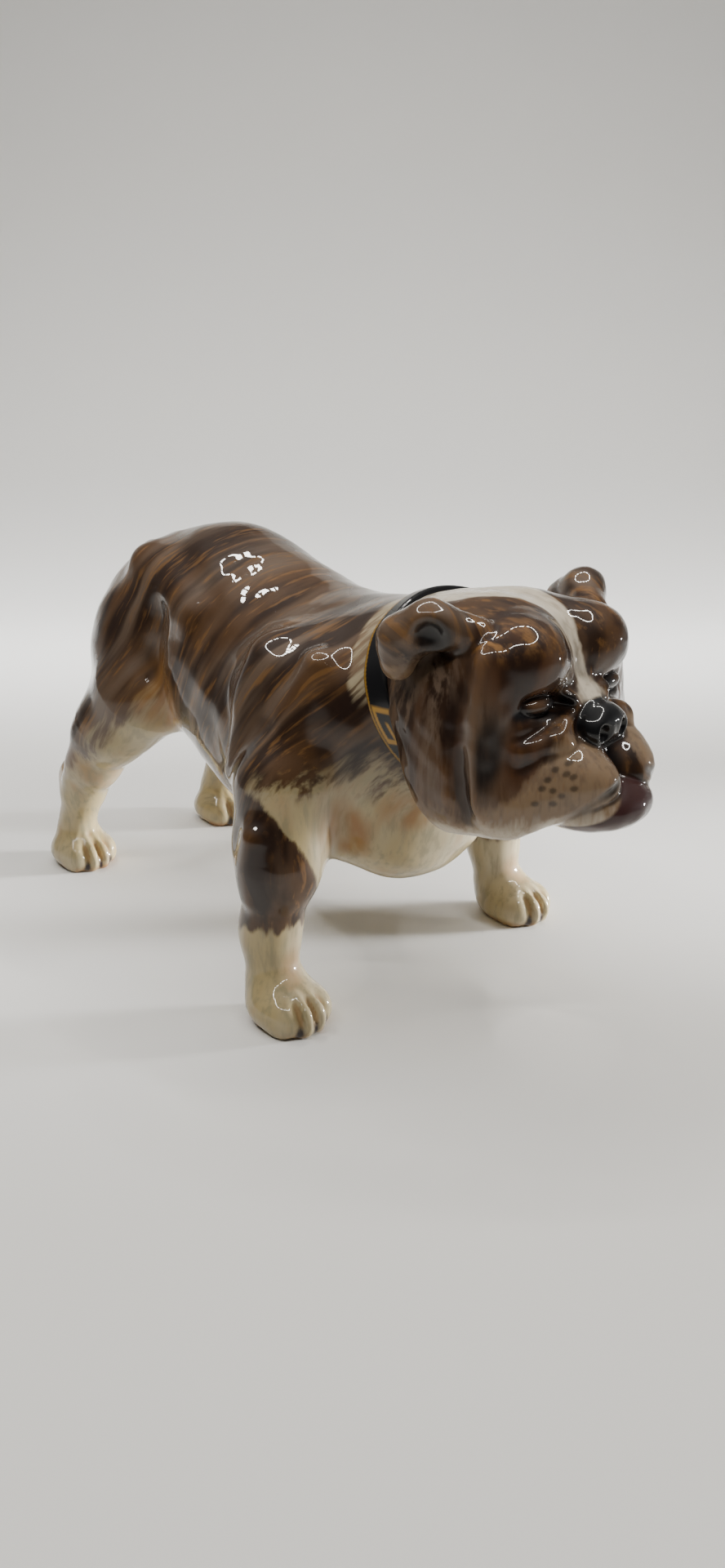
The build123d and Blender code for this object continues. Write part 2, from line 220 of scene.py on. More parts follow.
def skull(p):
    p = head_local(p)
    q = right(p)
    d = egg(p, (15, 0, 64), (19, 20.5, 16.5))  # cranium
    d = join(d, egg(p, (25, 0, 70), (12, 16.5, 11.5)), 6)  # forehead
    d = join(d, egg(q, (32.5, -9.6, 72.5), (7.2, 7.8, 7.0)), 4.5)  # brow
    d = join(d, egg(q, (24, -15, 57), (11.5, 9.2, 14.5)), 8)  # cheek
    d = join(d, egg(q, (23, -18, 51), (8.5, 6, 8.5)), 4)  # jowl
    d = join(d, egg(q, (39, -5.5, 52.7), (10.5, 6.5, 5.8)), 3.5)  # upper lip pad
    d = join(d, limb(q, (39.5, -7.5, 53), (31, -14.5, 49.5), 6.8, 7), 4)  # flew
    d = join(d, limb(q, (42.5, -8.5, 51.6), (35, -15, 47.5), 3.2, 4.4), 3)  # flew's hanging edge
    d = join(d, egg(p, (37.5, 0, 60.5), (5.5, 5.5, 7)), 4)  # bridge of the muzzle
    # loose folds: from the inner eye beside the nose, under the eye, and down the cheek
    d = join(d, limb(q, (39.0, -5.4, 65.4), (40.2, -9.6, 60.4), 1.6, 1.7), 2.2)
    d = join(d, limb(q, (40.2, -9.6, 60.4), (36.4, -15.2, 58.8), 1.7, 1.6), 2.5)
    d = join(d, limb(q, (37.4, -8.0, 63.2), (35.2, -14.6, 62.4), 1.4, 1.4), 1.8)
    d = join(d, limb(q, (30.0, -18.0, 73), (31.6, -20.0, 51), 2.6, 2.9), 5.0)
    crease = join(limb(q, (28.4, -20.6, 77), (29.2, -24.1, 62), 1.4, 1.4),
                  limb(q, (29.2, -24.1, 62), (31.4, -22.6, 46), 1.4, 1.2), 1.5)
    d = carve(d, crease, 2.6)
    d = carve(d, limb(q, (43.2, -4.6, 65.8), (43.4, -9.0, 62.0), 0.8, 0.9), 1.2)
    # furrow along the skull and the stop between the brows
    d = carve(d, limb(p, (14, 0, 85.5), (31, 0, 83.5), 2.2, 1.6), 4)
    d = carve(d, limb(p, (35, 0, 81.5), (42.0, 0, 70.5), 1.8, 2.0), 3.5)
    # undershot jaw, tucked under the flews
    d = join(d, egg(p, (40.6, 0, 48.0), (11.3, 11.0, 5.6)), 0.7)
    d = carve(d, limb(q, LIP_FRONT, LIP_SIDE, 0.5, 0.5), 1.2)
    d = carve(d, limb(q, LIP_SIDE, LIP_BACK, 0.5, 0.6), 1.2)
    # nose with nostrils
    nose = egg(p, (41.6, 0, 61.4), (3.9, 5.3, 3.8))
    nose = join(nose, egg(q, (42.6, -3.0, 60.8), (2.7, 2.6, 2.7)), 1.0)
    nose = carve(nose, egg(q, (45.5, -2.9, 60.6), (1.9, 1.3, 1.6), 0, 0, 20), 0.8)
    nose = carve(nose, limb(p, (46.2, 0, 62.4), (45.6, 0, 57.0), 0.35, 0.35), 0.8)
    d = join(d, nose, 0.8)
    # eye slit and lids
    d = carve(d, egg(q, (39.6, -10.6, 65.9), (4.4, 5.4, 1.9), 0, 0, -10), 1.4)
    return join(d, egg(q, (35.4, -10.4, 65.7), (2.9, 4.2, 1.9)), 0.4)


def ears(p):
    local = head_local(p)
    local[:, 0] -= LEFT_EAR_AHEAD * (local[:, 1] > 0)
    q = right(local)
    d = limb(q, (27, -15.5, 76.6), (21.8, -21.4, 78.8), 3.3, 3.6)
    d = join(d, limb(q, (21.8, -21.4, 78.8), (17.4, -23.2, 76.0), 3.6, 3.6), 3)
    d = join(d, limb(q, (17.4, -23.2, 76.0), (17.2, -23.9, 72.0), 3.6, 2.9), 3)
    # the burr opening in front of the folded leaf
    return carve(d, egg(q, (24.8, -25.4, 76.4), (3.0, 3.6, 4.0), 0, 20), 1.5)


def head(p):
    d = join(skull(p), ears(p), 1.2)
    d = join(d, neck(p), 2.5)
    x, y, z = p.T
    d = d + 0.07 * np.sin(1.1 * x + 0.5 * z) * np.sin(1.0 * z - 0.6 * y) * np.sin(0.9 * y + 0.4)
    return carve(d, seam_side(p) + SEAM_GAP, 1.0)


def nape(p):
    """The neck that the collar goes round, with the cranium behind the ears."""
    return join(trunk(p), egg(head_local(p), (15, 0, 64), (19, 20.5, 16.5)), 3)


def collar_rear(p):
    """Distance ahead of the collar's rear edge, which leans forward at the top."""
    return (p - (SEAM_AT - COLLAR_BEHIND * SEAM_WAY)) @ REAR_WAY


def collar(p):
    n = nape(p)
    slab = np.maximum(-collar_rear(p), seam_side(p) - COLLAR_AHEAD)
    return carve(-join(-(n - COLLAR_PROUD), -slab, 0.5), n + COLLAR_SUNK, 0.2)


# ---------------------------------------------------------------- surfaces from masses
def slope(mass, v, e=0.05):
    """The mass's gradient, by differences e either side."""
    g = np.empty_like(v)
    for i in range(3):
        o = np.zeros(3, f4)
        o[i] = e
        g[:, i] = (mass(v + o) - mass(v - o)) / (2 * e)
    return g


BLOCK = 4                   # fine cells along one side of a coarse one


def refine(a):
    """A coarse grid with each cell repeated as a block of fine ones."""
    return a.repeat(BLOCK, 0).repeat(BLOCK, 1).repeat(BLOCK, 2)


def skin(mass, lo, hi, step):
    """Quad surface of a mass: vertices on it, faces, and true normals."""
    lo, hi = np.array(lo, f4), np.array(hi, f4)
    band = 3 * step
    cells = np.ceil((hi - lo) / (BLOCK * step)).astype(int)
    axes = [lo[i] + (np.arange(cells[i]) * BLOCK + (BLOCK - 1) / 2) * step for i in range(3)]
    rough = mass(np.stack(np.meshgrid(*axes, indexing="ij"), -1).reshape(-1, 3).astype(f4))
    rough = rough.reshape(cells)
    field = refine(np.sign(rough) * band).astype(f4)
    near = refine(np.abs(rough) < 3 * band)
    spots = np.argwhere(near)
    field[near] = mass((lo + spots * step).astype(f4))
    grid = openvdb.FloatGrid(band)
    grid.copyFromArray(np.clip(field, -band, band))
    v, quads = grid.convertToQuads(isovalue=0.0)
    v = (lo + v * step).astype(f4)
    for _ in range(3):
        g = slope(mass, v)
        d = mass(v)
        g2 = np.maximum((g * g).sum(1), 0.05)
        v -= g * np.clip(d / g2, -0.4 * step, 0.4 * step)[:, None]
    n = slope(mass, v)
    n /= np.sqrt((n * n).sum(1))[:, None] + 1e-9
    a, b, c = (v[quads[:, i]] for i in range(3))
    face = np.cross(b - a, c - a)
    if ((face * n[quads[:, 0]]).sum(1)).sum() < 0:
        quads = quads[:, ::-1]
    return v, quads, n


def relief(v, quads, n, step):
    """Folds and ridges of a surface, spread by about a millimetre."""
    a = np.concatenate([quads[:, i] for i in range(4)])
    b = np.concatenate([quads[:, (i + 1) % 4] for i in range(4)])
    gap = v[b] - v[a]
    bend = ((n[b] - n[a]) * gap).sum(1) / ((gap * gap).sum(1) + 1e-6)
    share = np.bincount(a, minlength=len(v)).clip(1)
    k = np.bincount(a, np.clip(bend, -2, 2), len(v)) / share
    for _ in range(round(1.4 / step ** 2)):
        k = 0.5 * k + 0.5 * np.bincount(a, k[b], len(v)) / share
    fold, ridge = ramp(-k, 0.02, 0.22), ramp(k, 0.10, 0.36)
    return np.stack((fold, ridge, np.zeros_like(k), np.zeros_like(k)), 1)


def piece(name, v, quads, n, paint, node, material):
    """One visible piece from a share of a surface, each cut rim closed with a fan."""
    used, quads = np.unique(quads, return_inverse=True)
    quads = quads.reshape(-1, 4)
    v, n = v[used], n[used]
    paint = {k: a[used] for k, a in paint.items()}
    edges = np.concatenate([quads[:, [i, (i + 1) % 4]] for i in range(4)])
    code = edges.min(1).astype(np.int64) * len(v) + edges.max(1)
    _, first, count = np.unique(code, return_index=True, return_counts=True)
    rim = edges[first[count == 1]]
    mesh = bpy.data.meshes.new(name)
    fan = np.empty((0, 3), int)
    loop_of = np.arange(len(v))
    while len(rim):
        low = loop_of[rim].min(1)
        before = loop_of.copy()
        np.minimum.at(loop_of, rim[:, 0], low)
        np.minimum.at(loop_of, rim[:, 1], low)
        if (before == loop_of).all():
            break
    for first in np.unique(loop_of[rim[:, 0]]) if len(rim) else ():
        part = rim[loop_of[rim[:, 0]] == first]
        fan = np.vstack((fan, np.stack((part[:, 1], part[:, 0], np.full(len(part), len(v))), 1)))
        v = np.vstack((v, v[part[:, 0]].mean(0)))
        n = np.vstack((n, [[0, 0, 1]]))
        paint = {k: np.concatenate((a, a[:1])) for k, a in paint.items()}
    total = len(v)
    loops = np.concatenate((quads.ravel(), fan.ravel())).astype(np.int32)
    starts = np.concatenate((np.arange(len(quads)) * 4, len(quads) * 4 + np.arange(len(fan)) * 3))
    mesh.vertices.add(total)
    mesh.vertices.foreach_set("co", ((v + np.array((AHEAD, 0, 0))) * 0.001).astype(f4).ravel())
    mesh.loops.add(len(loops))
    mesh.loops.foreach_set("vertex_index", loops)
    mesh.polygons.add(len(starts))
    mesh.polygons.foreach_set("loop_start", starts.astype(np.int32))
    mesh.update(calc_edges=True)
    mesh.validate()
    mesh.polygons.foreach_set("use_smooth", np.ones(len(starts), bool))
    for key, values in paint.items():
        kind = "FLOAT_VECTOR" if values.shape[1] == 3 else "FLOAT_COLOR"
        layer = mesh.attributes.new(key, kind, "POINT")
        layer.data.foreach_set("vector" if values.shape[1] == 3 else "color", values.astype(f4).ravel())
    mesh.normals_split_custom_set_from_vertices(n.astype(f4))
    obj = bpy.data.objects.new(name, mesh)
    bpy.context.collection.objects.link(obj)
    mesh.materials.append(material)
    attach(obj, "root")
    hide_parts(node)
    return obj


# ---------------------------------------------------------------- paint, as masks on the surface
def ramp(x, a, b):
    t = np.clip((x - a) / (b - a), 0.0, 1.0)
    return t * t * (3.0 - 2.0 * t)


def blob(p, c, r, soft=0.5):
    """1 inside an egg, falling to 0 outside it."""
    q = (p - np.array(c, f4)) / np.array(r, f4)
    return 1.0 - ramp(np.sqrt((q * q).sum(1)), 1.0 - soft, 1.0 + soft)


def wave(p, k, seed):
    """Slow wandering from -1 to 1, to break a painted edge."""
    x, y, z = (p * k).T
    return (np.sin(x + 1.7 * np.sin(y + seed)) * np.sin(y * 1.3 + 1.1 * np.sin(z * 0.9 + seed))
            + np.sin(z * 1.2 + 1.4 * np.sin(x * 0.8 - seed))) * 0.5


def body_paint(p, n):
    """Masks: cream, tan, dark, and black, which is painted shade at the foot of the toe grooves; and the
    lie of the brush.
    """
    x, y, z = p.T
    q = right(p)
    s = np.abs(y)
    w = wave(p, 0.35, 1.0)
    fore = x > -30
    low_fore = 1 - ramp(z + 2.0 * w + np.sin(x * 1.9) * np.sin(y * 1.7), 17.5, 22)
    hock = (47 + 0.8 * (x + 62)).clip(27, 50)
    low_hind = (1 - ramp(z - hock + 2.5 * w, -6, 5)) * (1 - ramp(x, -54, -50))
    crease = 42 + 2.0 * (s - 35.5)
    breast = (1 - ramp(z + 2.0 * w, 39, 56)) * ramp(x, -8, -1) * ramp(z - crease, -1.5, 1.5)
    belly = ramp(-n[:, 2], 0.60, 0.95) * (z < 50) * (s < 22)
    nape_band = (1 - ramp(np.abs(collar_rear(p) + 1.8), 1.2, 3.2)) * ramp(z, 58, 72)
    low_leg = np.where(fore, low_fore, low_hind) * (s > 12) * (z < 58)
    cream = np.maximum.reduce((low_leg, breast, belly * 0.8))
    # tan: groin, chest folds, hock and stifle, wrist, and round the soles
    tan = np.maximum.reduce((blob(q, (-56, -20, 50), (5, 8, 10)) * 0.9,
                             blob(q, (4, -21, 37), (3.5, 6, 6)) * 0.9,
                             blob(q, (13, -12, 41), (5, 7, 4)) * 0.8,
                             blob(q, (-95, -23, 22), (5, 6, 7)) * 0.7,
                             blob(q, (-84, -24, 33), (7, 6, 8)) * 0.5,
                             blob(q, (4, -33, 12), (6, 5, 3)) * 0.4,
                             1 - ramp(z, 0.5, 2.2)))
    # dark: behind the collar, outside the upper foreleg, on the thigh and the shoulder
    dark = np.maximum.reduce((blob(q, (7, -22, 57), (5, 6, 9), 0.5),
                              blob(q, (-3, -40, 33), (9, 7, 15), 0.6),
                              blob(q, (-72, -24, 60), (7, 7, 12), 0.6) * 0.6,
                              blob(q, (-12, -33, 52), (4, 5, 10), 0.5) * 0.7))
    dark = dark * (1 - breast)
    # black: painted shade at the floor end of each groove between the toes
    black = np.zeros_like(x)
    for paw_x, paw_y in (FORE_PAW, HIND_PAW):
        for off in TOE_GROOVES:
            ahead = x - paw_x - 8.4 + 0.1 * off * off
            gap = np.sqrt((ahead / 1.5) ** 2 + ((s + paw_y - off) / 0.8) ** 2 + ((z - 1.6) / 1.6) ** 2)
            black = np.maximum(black, 1 - ramp(gap, 0.5, 1.3))
    # the brush runs round the trunk, and down the legs and breast
    hold = np.maximum(ramp(s, 12, 24) * (1 - ramp(z, 26, 46)), (1 - ramp(z, 38, 62)) * ramp(x, -16, 4))
    hold = hold[:, None]
    out, up = s - 30, z - 37
    across = np.stack((x - 0.55 * up + 3.0 * wave(p, 0.06, 2.0), 0.14 * out, 0.16 * up), 1)
    down = np.stack((x, out, 0.18 * up), 1)
    zero = np.zeros_like(x)
    return {"paint": np.stack((cream, tan, dark, black), 1),
            "extra": np.stack((nape_band, zero, zero, zero), 1),
            "lie": across * (1 - hold) + down * hold}


def along(x, pairs):
    """A value that changes with x, straight between the (x, value) pairs."""
    return np.interp(x, [a for a, _ in pairs], [b for _, b in pairs])


# half-width of the white blaze, and height of the muzzle patch's upper edge, at places along the head
BLAZE_HALF = ((3, 9.0), (14, 8.5), (22, 6.0), (28, 3.6), (33, 2.3), (38, 2.0), (41, 3.0), (44, 4.5))
MUZZLE_TOP = ((16, 52), (25, 49.5), (30, 49), (33, 50), (36, 52),
              (38, 54.5), (40.5, 58.5), (42, 62), (44, 66))


def whisker_dots(x, z):
    """Rows of small dots on the upper lip pad, each a little out of line."""
    dots = np.zeros_like(x)
    for row in range(4):
        for col in range(3):
            dx = 40.6 + 1.9 * col + 0.5 * row + 0.5 * math.sin(3.1 * row + 2.3 * col)
            dz = 50.8 + 2.0 * row + 0.5 * col + 0.5 * math.sin(1.7 * row + 4.1 * col)
            spot = np.sqrt(((x - dx) / 0.62) ** 2 + ((z - dz) / 0.58) ** 2)
            dots = np.maximum(dots, 1 - ramp(spot, 0.5, 1.2))
    return dots


def head_paint(p):
    """Masks: white blaze, pink muzzle, dark mask, black; jaw, tan, pale edge, mauve."""
    local = head_local(p)
    q = right(local)
    x, y, z = local.T
    s = np.abs(y)
    w = wave(local, 0.5, 0.3)
    half = along(x, BLAZE_HALF)
    blaze = (1 - ramp(s + 0.5 * w, half - 1.2, half + 0.8)) * ramp(z, 63, 66)
    bridge = blob(local, (40, 0, 66), (4.5, 4.2, 3.5), 0.35) * 0.8
    under = 1 - ramp(z + 1.5 * w + 0.1 * (38 - x), 43.5, 52)
    white = np.maximum.reduce((blaze, bridge, under * 0.75))
    muzzle = (1 - ramp(z - along(x, MUZZLE_TOP) + 0.8 * w, -5.0, 2.5)) * ramp(s, 2.5, 5.5)
    # dark: brow, two strokes down the cheek, beside the muzzle, and below the nose
    dark = np.maximum.reduce((blob(q, (32, -13, 72), (9, 8, 8), 0.5),
                              blob(q, (28, -21, 61), (2.0, 5, 10), 0.5),
                              blob(q, (22, -23, 60), (1.8, 5, 8), 0.5) * 0.7,
                              blob(q, (36.5, -14, 57), (4, 6, 7), 0.5) * 0.9,
                              blob(local, (47, 0, 57), (4, 5, 4), 0.5) * 0.8))
    stripe = blob(q, (34.2, -20.5, 58.5), (1.6, 4.5, 7.0), 0.45)
    nose_mass = np.minimum(egg(local, (41.7, 0, 61.4), (4.5, 5.9, 4.4)),
                           egg(q, (42.8, -3.0, 60.8), (3.0, 3.0, 3.1)))
    nose = 1 - ramp(nose_mass, -0.25, 0.25)
    # painted shade: black in the hollow under the nose
    shade_under_nose = blob(local, (46, 0, 56.5), (3.8, 1.6, 3.2), 0.6) * 0.8
    eye = 1 - ramp(limb(q, (39.2, -5.6, 66.0), (35.4, -15.2, 64.6), 0.9, 0.6), 0.0, 1.3)
    bag = 1 - ramp(limb(q, (38.6, -7.0, 64.4), (36.6, -12.6, 62.8), 0.7, 0.7), -0.1, 1.2)
    fold = 1 - ramp(limb(q, (40.4, -6.4, 63.4), (39.0, -11.4, 60.2), 0.3, 0.2), 0.0, 0.9)
    lip = limb(q, LIP_FRONT, LIP_SIDE, 0.6, 0.6)
    lip = np.minimum(lip, limb(q, LIP_SIDE, LIP_BACK, 0.6, 0.2))
    lip = np.minimum(lip, limb(q, LIP_FRONT, (50.8, 0, 54.6), 0.8, 0.8))
    lip = 1 - ramp(lip, 0.0, 1.1)
    burr = blob(q, (24.6, -23.5, 77.0), (3.0, 3.4, 3.6), 0.35) * (ears(p) < 1.2)
    black = np.maximum.reduce((nose, eye * 0.95, bag * 0.8, fold * 0.6, lip * 0.8, burr * 0.9,
                               stripe * 0.8, shade_under_nose))
    black = np.maximum(black, 0.6 * whisker_dots(x, z) * (s > 7) * (s < 18))
    jaw = 1 - ramp(egg(q, (41.1, 0, 47.7), (11.7, 11.6, 6.1)), -0.1, 0.4)
    jaw = jaw * (1 - ramp(z - 52.2 + 0.9 * (s - 2.0).clip(0), 0.0, 0.8))
    is_ear = 1 - ramp(ears(p) - skull(p), -0.5, 0.5)
    tip = is_ear * np.maximum(1 - ramp(z, 70, 75), (1 - ramp(x, 14, 16.5)) * 0.7)
    mauve = blob(q, (25, -21, 63), (12, 8, 14), 0.6)
    tan = np.maximum(blob(q, (31, -17, 78), (6, 5, 4), 0.6), blob(q, (33, -12, 76.5), (5, 5, 2.5), 0.6))
    return {"paint": np.stack((white, muzzle, dark, black), 1),
            "extra": np.stack((jaw, tan, tip, mauve), 1),
            "lie": np.stack(((x - 32) * (1 - 0.75 * ramp(z, 67, 82)), y, 0.16 * z + 0.08 * x), 1)}


BUCKLE_INNER_Y = -15.0      # the buckle is on the collar's right side only


def collar_paint(p):
    """Masks: gilt edge line and buckle outline on a black band."""
    side = collar_rear(p) - COLLAR_MIDDLE
    line = (1 - ramp(np.abs(side + 2.4), 0.12, 0.3)) * 0.7
    frame_line = np.abs(np.maximum(np.abs(p[:, 2] - 59.5) * 0.6, np.abs(side)) - 1.7)
    buckle = 1 - ramp(frame_line, 0.15, 0.4)
    tab = (1 - ramp(np.abs(side), 0.15, 0.4)) * (1 - ramp(np.abs(p[:, 2] - 58), 1.8, 2.6))
    gilt = np.maximum(line, np.maximum(buckle, tab) * (p[:, 1] < BUCKLE_INNER_Y))
    zero = np.zeros_like(gilt)
    return {"paint": np.stack((gilt, zero, zero, zero), 1), "lie": p}


# ---------------------------------------------------------------- glaze
class Web:
    """Short-hand for building a material's nodes."""

    def __init__(self, name):
        self.mat = bpy.data.materials.new(name)
        self.mat.use_nodes = True
        self.tree = self.mat.node_tree
        self.tree.nodes.clear()

    def put(self, kind, **values):
        """A node. A key names an input, i0 is input 0, and _name is a setting of the node itself."""
        node = self.tree.nodes.new("ShaderNode" + kind)
        for key, value in values.items():
            if key.startswith("_"):
                setattr(node, key[1:], value)
                continue
            numbered = key[0] == "i" and key[1:].isdigit()
            socket = node.inputs[int(key[1:]) if numbered else key.replace("_", " ")]
            if isinstance(value, bpy.types.NodeSocket):
                self.tree.links.new(value, socket)
            else:
                socket.default_value = value
        return node

    def mix(self, a, b, t):
        node = self.tree.nodes.new("ShaderNodeMix")
        node.data_type = "RGBA"
        for index, value in ((0, t), (6, a), (7, b)):
            if isinstance(value, bpy.types.NodeSocket):
                self.tree.links.new(value, node.inputs[index])
            else:
                node.inputs[index].default_value = value if index == 0 else (*value, 1.0)
        return node.outputs[2]

    def math(self, op, a, b=0.0):
        return self.put("Math", _operation=op, i0=a, i1=b).outputs[0]

    def step(self, x, lo, hi):
        return self.put("MapRange", _interpolation_type="SMOOTHSTEP", Value=x,
                        From_Min=lo, From_Max=hi).outputs[0]

    def noise(self, vector, scale, detail=2.0, rough=0.5):
        node = self.put("TexNoise", Vector=vector, Scale=scale, Detail=detail, Roughness=rough)
        return node.outputs[0]


def glaze(web, colour, bump):
    """Clear glossy glaze over an underglaze colour."""
    ripple = web.put("Bump", Strength=0.05, Distance=0.0003, Height=bump)
    shader = web.put("BsdfPrincipled", Base_Color=colour, Normal=ripple.outputs[0],
                     Roughness=0.5, Specular_IOR_Level=0.15,
                     Coat_Weight=1.0, Coat_Roughness=0.02, Coat_IOR=1.4)
    out = web.put("OutputMaterial")
    web.tree.links.new(shader.outputs[0], out.inputs[0])
    return web.mat


def streaks(web):
    """Brush marks along the lie: broad, fine, a slow drift of tone, and single hairs."""
    lie = web.put("Attribute", _attribute_name="lie").outputs["Vector"]
    return (web.noise(lie, 0.22, 2.0, 0.5), web.noise(lie, 0.75, 3.0, 0.55), web.noise(lie, 0.09, 2.0),
            web.noise(lie, 2.4, 2.0, 0.5))


CREAM, IVORY, WHITE = (0.38, 0.30, 0.15), (0.40, 0.34, 0.22), (0.60, 0.53, 0.42)
TAN, OCHRE = (0.22, 0.105, 0.030), (0.27, 0.13, 0.038)
BROWN, UMBER, SOOT = (0.072, 0.035, 0.014), (0.014, 0.005, 0.002), (0.002, 0.002, 0.003)
MAUVE, PINK, LIVER = (0.110, 0.074, 0.050), (0.20, 0.135, 0.080), (0.038, 0.013, 0.012)
SAGE, RUST, GILT = (0.22, 0.20, 0.12), (0.060, 0.020, 0.004), (0.38, 0.20, 0.02)


def brindle(web, broad, fine, slow, hair):
    """Brown coat streaked with umber and tan, greyer in places."""
    c = web.mix(BROWN, MAUVE, web.step(slow, 0.40, 0.58))
    c = web.mix(c, UMBER, web.math("MULTIPLY", web.step(broad, 0.42, 0.62), 0.85))
    c = web.mix(c, TAN, web.math("MULTIPLY", web.step(fine, 0.53, 0.68), 0.50))
    return web.mix(c, UMBER, web.math("MULTIPLY", web.step(hair, 0.5, 0.8), 0.15))


def fold_shade_ridge_light(web, colour):
    """Painted shade: darker umber in the folds; painted light: a little lighter tan on the ridges."""
    fold, ridge, *_ = masks_of(web, "relief")
    c = web.mix(colour, UMBER, web.math("MULTIPLY", fold, 0.75))
    return web.mix(c, TAN, web.math("MULTIPLY", ridge, 0.18))


def brushed(web, mask, broad, fine, reach, lo=0.2, hi=0.85):
    """A mask with its edge broken up by the brush."""
    stroke = web.math("ADD", web.step(broad, 0.3, 0.7), web.step(fine, 0.3, 0.7))
    edge = web.math("MULTIPLY", web.math("MULTIPLY", mask, web.math("SUBTRACT", 1.0, mask)), 4.0 * reach)
    shift = web.math("MULTIPLY", web.math("SUBTRACT", stroke, 1.0), edge)
    return web.step(web.math("ADD", mask, shift), lo, hi)


def masks_of(web, name):
    """The four masks kept in one vertex attribute."""
    node = web.put("Attribute", _attribute_name=name)
    return (*web.put("SeparateColor", Color=node.outputs["Color"]).outputs, node.outputs["Alpha"])


def body_material():
    web = Web("brindle_glaze")
    broad, fine, slow, hair = streaks(web)
    cream, tan, dark, black = masks_of(web, "paint")
    c = brindle(web, broad, fine, slow, hair)
    c = web.mix(c, UMBER, web.math("MULTIPLY", dark, web.step(broad, 0.25, 0.6)))
    nape_band = masks_of(web, "extra")[0]
    nape = brushed(web, nape_band, broad, fine, 0.35)
    c = web.mix(c, web.mix(PINK, IVORY, web.step(fine, 0.45, 0.65)), web.math("MULTIPLY", nape, 0.8))
    # painted shade in the folds and painted light on the ridges of the coat
    c = fold_shade_ridge_light(web, c)
    pale = web.mix(CREAM, IVORY, web.step(slow, 0.35, 0.65))
    pale = web.mix(pale, OCHRE, web.math("MULTIPLY", web.step(broad, 0.48, 0.75), 0.40))
    pale = web.mix(pale, SAGE, web.math("MULTIPLY", web.step(fine, 0.44, 0.68), 0.6))
    # painted shade: the cream darker in the folds
    fold = masks_of(web, "relief")[0]
    pale = web.mix(pale, TAN, web.math("MULTIPLY", fold, 0.55))
    c = web.mix(c, pale, brushed(web, cream, broad, fine, 0.55, 0.1, 0.9))
    c = web.mix(c, OCHRE, web.math("MULTIPLY", tan, web.step(broad, 0.3, 0.6)))
    # the black mask here is painted shade in the toe grooves
    c = web.mix(c, UMBER, black)
    return glaze(web, c, broad)


def head_material():
    web = Web("mask_glaze")
    broad, fine, slow, hair = streaks(web)
    white, muzzle, dark, black = masks_of(web, "paint")
    jaw, tan, tip, mauve = masks_of(web, "extra")
    c = brindle(web, broad, fine, slow, hair)
    c = web.mix(c, MAUVE, web.math("MULTIPLY", mauve, web.step(fine, 0.4, 0.6)))
    c = web.mix(c, RUST, web.math("MULTIPLY", dark, web.step(slow, 0.3, 0.6)))
    c = web.mix(c, UMBER, web.math("MULTIPLY", dark, web.step(broad, 0.35, 0.65)))
    c = web.mix(c, TAN, web.math("MULTIPLY", tan, web.step(fine, 0.4, 0.7)))
    rosy = web.mix(PINK, MAUVE, web.math("MULTIPLY", web.step(fine, 0.42, 0.66), 0.6))
    rosy = web.mix(rosy, TAN, web.math("MULTIPLY", web.step(hair, 0.5, 0.8), 0.2))
    c = web.mix(c, rosy, brushed(web, muzzle, broad, fine, 0.40))
    ivory = web.mix(WHITE, PINK, web.math("MULTIPLY", web.step(fine, 0.45, 0.75), 0.5))
    c = web.mix(c, ivory, brushed(web, white, broad, fine, 0.25, 0.3, 0.9))
    c = web.mix(c, rosy, brushed(web, tip, broad, fine, 0.45))
    # painted shade in the folds and painted light on the ridges of the head
    c = fold_shade_ridge_light(web, c)
    c = web.mix(c, LIVER, jaw)
    # black paint, with the painted shade under the nose
    c = web.mix(c, SOOT, black)
    return glaze(web, c, broad)


def collar_material():
    web = Web("collar_glaze")
    broad = streaks(web)[0]
    gilt = masks_of(web, "paint")[0]
    return glaze(web, web.mix(SOOT, GILT, gilt), broad)


# ---------------------------------------------------------------- make the pieces
STEP_BODY, STEP_HEAD = ((0.55, 0.28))
BODY_BOX = ((-106, -44, -2), (28, 44, 88))
HEAD_BOX = ((2, -30, 38), (56, 32, 88))
COLLAR_BOX = ((-4, -28, 40), (28, 28, 84))
body_mat, head_mat = body_material(), head_material()
band_mat = collar_material()

v, quads, n = skin(body, *BODY_BOX, STEP_BODY)
middle = v[quads].mean(1)
side = np.where(middle[:, 1] < 0, "right", "left").astype(object)
label = np.full(len(quads), "torso", dtype=object)
out = np.abs(middle[:, 1])
fore = (out > FORELEG_INNER_Y) & (middle[:, 0] > FORELEG_REAR_X) & (middle[:, 2] < FORE_JOINT_Z)
hind = (out > HINDLEG_INNER_Y) & (middle[:, 0] < HINDLEG_FRONT_X) & (middle[:, 2] < HIND_JOINT_Z)
label[fore] = side[fore] + "_foreleg"
label[hind] = side[hind] + "_hindleg"
label[tail(middle) < trunk(middle) - 0.3] = "tail"
paint = body_paint(v, n)
paint["relief"] = relief(v, quads, n, STEP_BODY)
for node in ("torso", "right_foreleg", "left_foreleg", "right_hindleg", "left_hindleg", "tail"):
    piece(node + "_glazed", v, quads[label == node], n, paint, node, body_mat)

v, quads, n = skin(head, *HEAD_BOX, STEP_HEAD)
middle = v[quads].mean(1)
is_ear = ears(middle) < skull(middle) - 0.2
side_y = head_local(middle)[:, 1]
paint = head_paint(v)
paint["relief"] = relief(v, quads, n, STEP_HEAD)
piece("head_glazed", v, quads[~is_ear], n, paint, "head", head_mat)
piece("right_ear_glazed", v, quads[is_ear & (side_y < 0)], n, paint, "right_ear", head_mat)
piece("left_ear_glazed", v, quads[is_ear & (side_y > 0)], n, paint, "left_ear", head_mat)

v, quads, n = skin(collar, *COLLAR_BOX, STEP_HEAD)
piece("collar_glazed", v, quads, n, collar_paint(v), "collar", band_mat)


